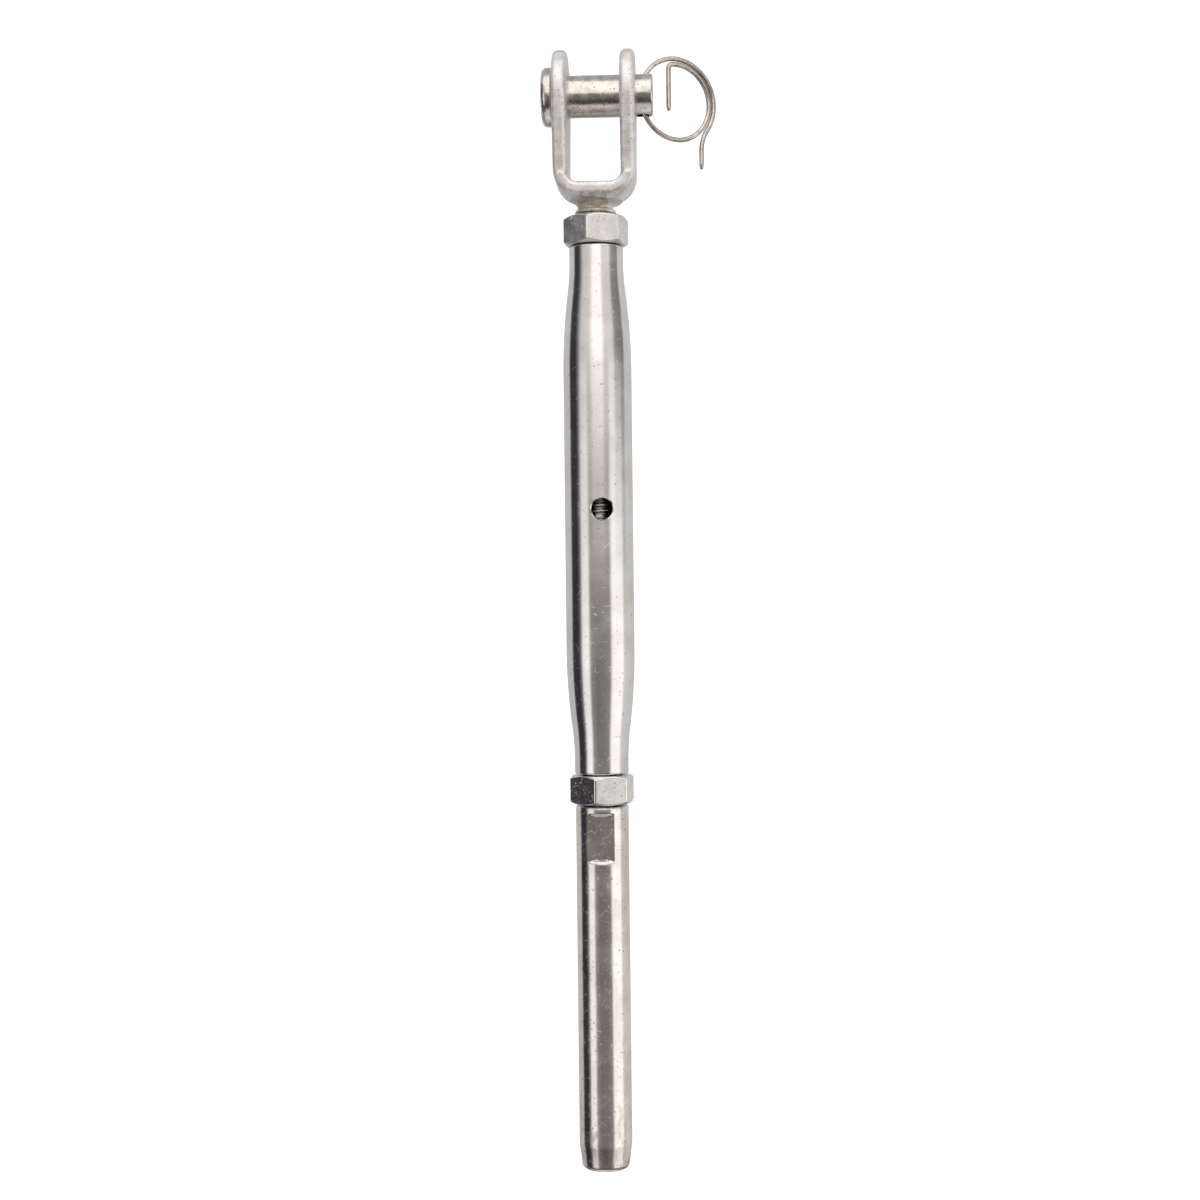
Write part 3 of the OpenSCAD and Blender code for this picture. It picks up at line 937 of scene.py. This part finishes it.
def greasy_roots(steel):
    """Dark grease in the roots of a stud's thread, above the terminal's shoulder."""
    height = steel.along(Z)
    roots = steel.fit(from_line(steel, (0, 0, 0), (0, 0, 1)), 5.2 * MM, 4.95 * MM)
    threads = steel.fit(height, SHOULDER * MM, (SHOULDER + 1) * MM)
    roots = steel.times(roots, threads)
    steel.blend(roots, (0.12, 0.10, 0.09), 0.55)


def dull_and_shaded_hole(steel):
    """The wall of the inspection hole, dull where the polishing wheel doesn't reach. Its dark
    colour is painted shade inside the hole.
    """
    way = (math.sin(SIGHT_TURN), -math.cos(SIGHT_TURN), 0)
    wall = steel.fit(
        from_line(steel, (0, 0, BODY_MID), way), (SIGHT_R + 0.12) * MM, (SIGHT_R + 0.03) * MM
    )
    # Painted shade: the dark colour stands for the shade inside the inspection hole. The added
    # roughness is the real dull wall.
    steel.blend(wall, (0.20, 0.19, 0.18), 0.85)
    steel.roughen(wall, 0.22)


# %% [markdown]
# ### The casting
#
# A casting is tumbled with stones after it leaves the mould, so it has a pale satin skin
# of fine pebbles and no mirror. Welding then leaves a straw tint on the neck and a blue
# bruise above it. Such tints could be painted onto an unwrapped map. Here they are two
# ranges of height, broken up by a cloud of noise, so they stay in place on any mesh.

# %% Steel of the fork
def cast_steel():
    """Tumbled casting: satin, with fine pebbles and a straw tint beside the weld."""
    steel = Steel("cast_steel", 0.56)
    mottle(steel, (0.76, 0.735, 0.72), (0.88, 0.86, 0.845), 0.35, 0.05)
    steel.raise_by(steel.noise((2.2, 2.2, 2.2), 3.0), 0.030)
    steel.raise_by(steel.noise((0.7, 0.7, 0.7), 1.0), 0.04)
    specks(steel, 1.9, 0.74, (0.20, 0.17, 0.15), 0.6)
    across, height = steel.along(X), steel.along(Z)
    near_weld = steel.fit(height, -31.5 * MM, -33.5 * MM)
    near_weld = steel.times(near_weld, steel.fit(across, 5 * MM, 2.5 * MM))
    cloud = steel.fit(steel.noise((0.45, 0.45, 0.6), 3.0), 0.38, 0.62)
    straw = steel.times(near_weld, cloud)
    steel.blend(near_weld, (0.62, 0.56, 0.44), 0.6)
    steel.blend(straw, (0.40, 0.33, 0.23), 0.75)
    bruise = steel.fit(height, -29.2 * MM, -31.0 * MM)
    bruise = steel.times(bruise, steel.fit(height, -32.6 * MM, -31.8 * MM))
    middle = steel.fit(steel.figure("ABSOLUTE", across), 6.5 * MM, 3 * MM)
    bruise = steel.times(steel.times(bruise, middle), cloud)
    steel.blend(bruise, (0.30, 0.29, 0.35), 0.6)
    hairlines(steel, 0.5, 0.02, 0.6, (0.80, 0.79, 0.77))
    return steel.finish()


# %% [markdown]
# ### Threads, pin and ring
#
# The crests of a thread are rubbed bright by the nut and its roots hold grease. How far
# a place is from the stud's axis tells the two apart, so nothing needs painting. The pin
# is bright bar, rubbed to fine pebbles where it bears, and the ring is drawn wire with a
# faint warmth.

# %% Steel of the fork's stud
def thread_steel():
    """Rolled thread: bright crests, with a little dark grease in the roots."""
    steel = Steel("thread_steel", 0.20)
    mottle(steel, (0.58, 0.56, 0.54), (0.68, 0.66, 0.64), 0.3, 0.04)
    specks(steel, 1.2, 0.76, (0.16, 0.13, 0.12), 0.5)
    greasy_roots(steel)
    steel.raise_by(steel.noise((0.3, 0.3, 3.0), 2.0), 0.006)
    return steel.finish()


# %% Steel of the clevis pin
def pin_steel():
    """Rubbed bar: bright, with a pebbly wear band where it bears."""
    steel = Steel("pin_steel", 0.20)
    mottle(steel, (0.54, 0.50, 0.47), (0.70, 0.67, 0.63), 0.4, 0.05)
    steel.raise_by(steel.noise((1.6, 1.3, 1.3), 3.0), 0.020)
    steel.raise_by(steel.noise((0.35, 2.5, 2.5), 2.0), 0.006)
    specks(steel, 1.5, 0.72, (0.16, 0.12, 0.12), 0.6)
    hairlines(steel, 0.6, 0.02, 0.7, (0.75, 0.73, 0.72))
    return steel.finish()


# %% Steel of the cotter ring
def wire_steel():
    """Bright drawn wire, faintly warm."""
    steel = Steel("wire_steel", 0.20)
    mottle(steel, (0.46, 0.42, 0.39), (0.58, 0.54, 0.50), 0.5, 0.04)
    steel.raise_by(steel.noise((2.0, 2.0, 0.4), 2.0), 0.006)
    specks(steel, 1.2, 0.72, (0.14, 0.11, 0.10), 0.5)
    return steel.finish()


# %% [markdown]
# ### Nuts, tube and sleeve
#
# Nuts are cut from drawn bar, so their lines run with the bar. The tube and the sleeve
# are turned and then polished on a wheel, which leaves faint rings and a few hairlines.
# A long smooth part shows every ripple in its reflections, so the bump here is only a
# few thousandths of a millimetre high. The wheel can't reach into the inspection hole,
# which stays dull, and its wall is darkened with painted shade.

# %% Steel of the lock nuts
def nut_steel():
    """Brushed bar: straight lines along the nut's flats, with a few deep scratches.
    The upper nut kept its brushing and the lower one was rubbed bright."""
    steel = Steel("nut_steel", 0.0)
    height = steel.along(Z)
    steel.roughness = steel.fit(height, -205 * MM, -60 * MM, 0.15, 0.36)
    mottle(steel, (0.68, 0.67, 0.66), (0.80, 0.785, 0.77), 0.3, 0.04)
    brush = steel.noise((5.0, 5.0, 0.22), 3.0)
    steel.raise_by(brush, 0.007)
    steel.roughness = steel.total(steel.roughness, steel.fit(brush, 0.3, 0.7, -0.04, 0.06))
    specks(steel, 1.6, 0.74, (0.14, 0.13, 0.13), 0.5)
    hairlines(steel, 0.45, 0.03, 1.2, (0.80, 0.79, 0.79))
    return steel.finish()


# %% Steel of the tube
def polished_steel():
    """Turned and polished tube: mirror-like, with faint rings and hairlines."""
    steel = Steel("polished_steel", 0.115)
    mottle(steel, (0.64, 0.62, 0.61), (0.72, 0.705, 0.695), 0.12, 0.03)
    steel.raise_by(steel.noise((0.1, 0.1, 5.0), 2.0), 0.0012)
    steel.raise_by(steel.noise((0.25, 0.25, 0.06), 1.0), 0.012)
    specks(steel, 1.2, 0.775, (0.24, 0.20, 0.18), 0.5)
    hairlines(steel, 0.30, 0.014, 1.0, (0.82, 0.80, 0.79), 0.06)
    # The wall inside the inspection hole gets painted shade and a duller finish.
    dull_and_shaded_hole(steel)
    return steel.finish()


# %% Steel of the terminal
def sleeve_steel():
    """Polished sleeve, more handled than the tube, with a brown stain near its nose."""
    steel = Steel("sleeve_steel", 0.13)
    mottle(steel, (0.62, 0.58, 0.555), (0.73, 0.69, 0.665), 0.14, 0.04)
    steel.raise_by(steel.noise((0.1, 0.1, 5.0), 2.0), 0.0012)
    steel.raise_by(steel.noise((0.3, 0.3, 0.05), 1.0), 0.014)
    specks(steel, 1.2, 0.755, (0.20, 0.14, 0.11), 0.6)
    hairlines(steel, 0.36, 0.017, 1.1, (0.85, 0.83, 0.82), 0.11)
    height = steel.along(Z)
    low = steel.fit(height, -292 * MM, -318 * MM)
    cloud = steel.fit(steel.noise((0.5, 0.5, 0.25), 4.0), 0.50, 0.68)
    stain = steel.times(low, cloud)
    steel.blend(stain, (0.36, 0.26, 0.19), 0.5)
    steel.roughen(stain, 0.14)
    greasy_roots(steel)
    return steel.finish()


# %% [markdown]
# ## Dress the frame
#
# Each new piece takes the place of one solid of the frame, rides on the same moving
# body, and names the slot that holds its finish.

# %% Piece, the solid it stands for, its body and its steel
STEELS = {
    make.__name__: make()
    for make in (
        cast_steel, thread_steel, pin_steel, wire_steel, nut_steel, polished_steel,
        sleeve_steel,
    )
}
print("steels:", list(STEELS))
DRESSING = [
    (fork, "jaw_fork", "jaw", "cast_steel"),
    (fork_stud, "jaw_stud", "jaw", "thread_steel"),
    (pin, "clevis_pin", "pin", "pin_steel"),
    (ring, "cotter_ring", "ring", "wire_steel"),
    (upper_nut, "upper_lock_nut", "upper_nut", "nut_steel"),
    (tube, "body_tube", "body", "polished_steel"),
    (lower_nut, "lower_lock_nut", "lower_nut", "nut_steel"),
    (terminal, "swage_terminal", "terminal", "sleeve_steel"),
]
for piece, node, body, slot in DRESSING:
    piece.data.materials.clear()
    piece.data.materials.append(STEELS[slot])
    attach(piece, body)
    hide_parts(node)
print("dressed:", [piece.name for piece, *_ in DRESSING])

# %% [markdown]
# ## A studio made of directions
#
# Polished steel has hardly any colour of its own: what you see is the room. So the room
# is designed first, as a strip seen round the object. Large soft lights in front and
# above, a narrow one at the left, a wide one at the right, a dark card at the far left,
# and pale walls behind. Real lamps and cards would do it, but each adds noise. A world
# whose brightness depends only on direction gives the same reflections cleanly, from
# every side. Azimuth is counted from the front towards the right, and elevation
# from the horizon.

# %% Brightness by direction
FRONT = 3.0
LOW_STRIP = [
    (-180, 0.62), (-132, 0.66), (-112, 0.70), (-104, 0.05), (-78, 0.05), (-69, 0.26),
    (-61, 1.18), (-42, 1.32), (-32, 0.36), (-12, 0.24), (12, 0.27), (32, 0.36),
    (42, 1.45), (80, 1.50), (90, 0.85), (132, 0.72), (180, 0.62),
]
HIGH_STRIP = [
    (-180, 0.62), (-132, 0.70), (-112, 0.72), (-104, 0.06), (-80, 0.05), (-72, 0.20),
    (-58, 0.74), (-28, 0.92), (-16, 1.50), (13, 1.62), (25, 0.98), (54, 0.90),
    (64, 0.36), (96, 0.26), (106, 0.80), (132, 0.75), (180, 0.62),
]
FRONT_RISE = [
    (-90, 0.70), (-61, 0.85), (-54, 0.06), (-22, 0.07), (-14, 0.40), (16, 1.10),
    (32, 1.70), (68, 1.70), (82, 0.60), (90, 0.50),
]
BACK_RISE = [
    (-90, 1.15), (-66, 0.75), (-40, 0.22), (-18, 0.20), (-8, 0.55), (20, 0.70),
    (60, 0.55), (90, 0.50),
]
TINTS = [
    (-180, (1.0, 0.985, 0.965)), (-112, (0.99, 0.985, 0.97)), (-102, (0.94, 0.88, 1.0)),
    (-78, (0.94, 0.88, 1.0)), (-62, (0.99, 0.98, 0.985)), (-42, (1.0, 0.98, 0.97)),
    (-26, (1.0, 0.945, 0.92)), (0, (1.0, 0.965, 0.91)), (26, (1.0, 0.945, 0.925)),
    (44, (1.0, 0.98, 0.935)), (84, (1.0, 0.985, 0.95)), (112, (0.99, 0.985, 0.98)),
    (180, (1.0, 0.985, 0.965)),
]

# %% Helpers for the studio's nodes
room = bpy.data.worlds.new("studio")
bpy.context.scene.world = room
room.use_nodes = True
tree = room.node_tree


def put(kind, inputs=(), **settings):
    """The outputs of one node of the studio."""
    return add_node(tree, kind, inputs, **settings).outputs


def figure(operation, a, b=0.0):
    """A number worked out from one or two others."""
    return put("ShaderNodeMath", {0: a, 1: b}, operation=operation)[0]


def band(angle, stops, low, high):
    """A colour along an angle in degrees, from a list of stops."""
    share = put("ShaderNodeMapRange", {0: angle, 1: low, 2: high})[0]
    ramp = tree.nodes.new("ShaderNodeValToRGB")
    tree.links.new(share, ramp.inputs[0])
    elements = ramp.color_ramp.elements
    for k, (degrees, colour) in enumerate(stops):
        place = (degrees - low) / (high - low)
        stop = elements[k] if k < 2 else elements.new(place)
        stop.position = place
        stop.color = (*colour, 1)
    return ramp.outputs[0]


def strip(angle, stops, low, high):
    """Brightness along an angle in degrees, from a list of stops."""
    top = max(value for _, value in stops)
    greys = [(degrees, (value / top,) * 3) for degrees, value in stops]
    return figure("MULTIPLY", band(angle, greys, low, high), top)


def mixed(share, a, b):
    """Goes from a to b as share goes from 0 to 1."""
    return put("ShaderNodeMix", {0: share, 2: a, 3: b})[0]


def soft_step(value, low, high):
    """From 0 at low to 1 at high, with soft ends."""
    inputs = {0: value, 1: low, 2: high}
    return put("ShaderNodeMapRange", inputs, interpolation_type="SMOOTHSTEP")[0]


# %% Join the strips into one room
ray = put("ShaderNodeSeparateXYZ", {0: put("ShaderNodeTexCoord")["Generated"]})
minus_y = figure("MULTIPLY", ray[Y], -1.0)
azimuth = figure("MULTIPLY", figure("ARCTAN2", ray[X], minus_y), 180 / math.pi)
azimuth = figure("SUBTRACT", azimuth, FRONT)
elevation = figure("MULTIPLY", figure("ARCSINE", ray[Z]), 180 / math.pi)
level = mixed(
    soft_step(elevation, -2.0, 10.5),
    strip(azimuth, LOW_STRIP, -180, 180),
    strip(azimuth, HIGH_STRIP, -180, 180),
)
in_front = soft_step(figure("ABSOLUTE", azimuth), 95.0, 50.0)
upright = mixed(
    in_front, strip(elevation, BACK_RISE, -90, 90), strip(elevation, FRONT_RISE, -90, 90)
)
low_fade = put("ShaderNodeMapRange", {0: elevation, 1: -17.0, 2: -30.0, 3: 1.0, 4: 0.62})[0]
level = figure("MULTIPLY", level, low_fade)
steep = figure("MAXIMUM", figure("MULTIPLY", elevation, -1.0), figure("SUBTRACT", elevation, 1.0))
light = mixed(soft_step(steep, 27.0, 38.0), level, upright)
background = tree.nodes["Background"]
tree.links.new(light, background.inputs["Strength"])
tree.links.new(band(azimuth, TINTS, -180, 180), background.inputs["Color"])
print("studio nodes:", len(tree.nodes))

# %% [markdown]
# ## Floor and camera
#
# A pale seamless bowl stands round everything: floor, curve and wall in one turned
# surface, so no horizon shows from any side. It only has to be seen, so it doesn't
# block or reflect light. The camera stands a little to the right of the front, level
# with the middle of the object, so neither end looks larger. A small roll gives the
# slight lean.

# %% A seamless pale bowl
FLOOR_Z = -462.0
BOWL_R, BOWL_CURVE, BOWL_HEIGHT = 2200.0, 900.0, 4200.0
flat_r = BOWL_R - BOWL_CURVE
bowl_outline = [(0, FLOOR_Z), (600, FLOOR_Z), (flat_r, FLOOR_Z)] + [
    (flat_r + BOWL_CURVE * math.sin(t), FLOOR_Z + BOWL_CURVE * (1 - math.cos(t)))
    for t in np.linspace(0.05, math.pi / 2, 24)
] + [(BOWL_R, FLOOR_Z + BOWL_HEIGHT)]
bowl = build("bowl", *turned(bowl_outline), sharp_at=180)
paper = bpy.data.materials.new("pale_paper")
paper.use_nodes = True
sheet = paper.node_tree.nodes["Principled BSDF"]
sheet.inputs["Base Color"].default_value = (0.90, 0.90, 0.90, 1)
sheet.inputs["Roughness"].default_value = 0.9
sheet.inputs["Specular IOR Level"].default_value = 0.0
sheet.inputs["Emission Color"].default_value = (1, 1, 1, 1)
sheet.inputs["Emission Strength"].default_value = 0.45
bowl.data.materials.append(paper)
bowl.visible_glossy = False
bowl.visible_diffuse = False
bowl.visible_shadow = False

# %% Camera
DISTANCE = 0.6
CAMERA_Z = -0.155
AIM_Z = -0.1533
LEAN = math.radians(0.64)
lens = bpy.data.cameras.new("camera")
lens.lens = 59.15
lens.sensor_width = 36.0
lens.clip_start = 0.01
lens.clip_end = 20.0
camera = bpy.data.objects.new("camera", lens)
bpy.context.scene.collection.objects.link(camera)
stand = math.radians(FRONT)
camera.location = (DISTANCE * math.sin(stand), -DISTANCE * math.cos(stand), CAMERA_Z)
look = Vector((0, 0, AIM_Z)) - camera.location
camera.rotation_mode = "QUATERNION"
upright_camera = look.to_track_quat("-Z", "Y")
camera.rotation_quaternion = upright_camera @ Matrix.Rotation(-LEAN, 3, "Z").to_quaternion()
bpy.context.scene.camera = camera
bpy.context.scene.view_settings.view_transform = "Standard"
print("camera at, mm:", [round(v / MM, 1) for v in camera.location])

# %% [markdown]
# ## Last step
#
# The scene is brought up to date, so that every piece stands where its body puts it.

# %% Bring the scene up to date
bpy.context.view_layer.update()
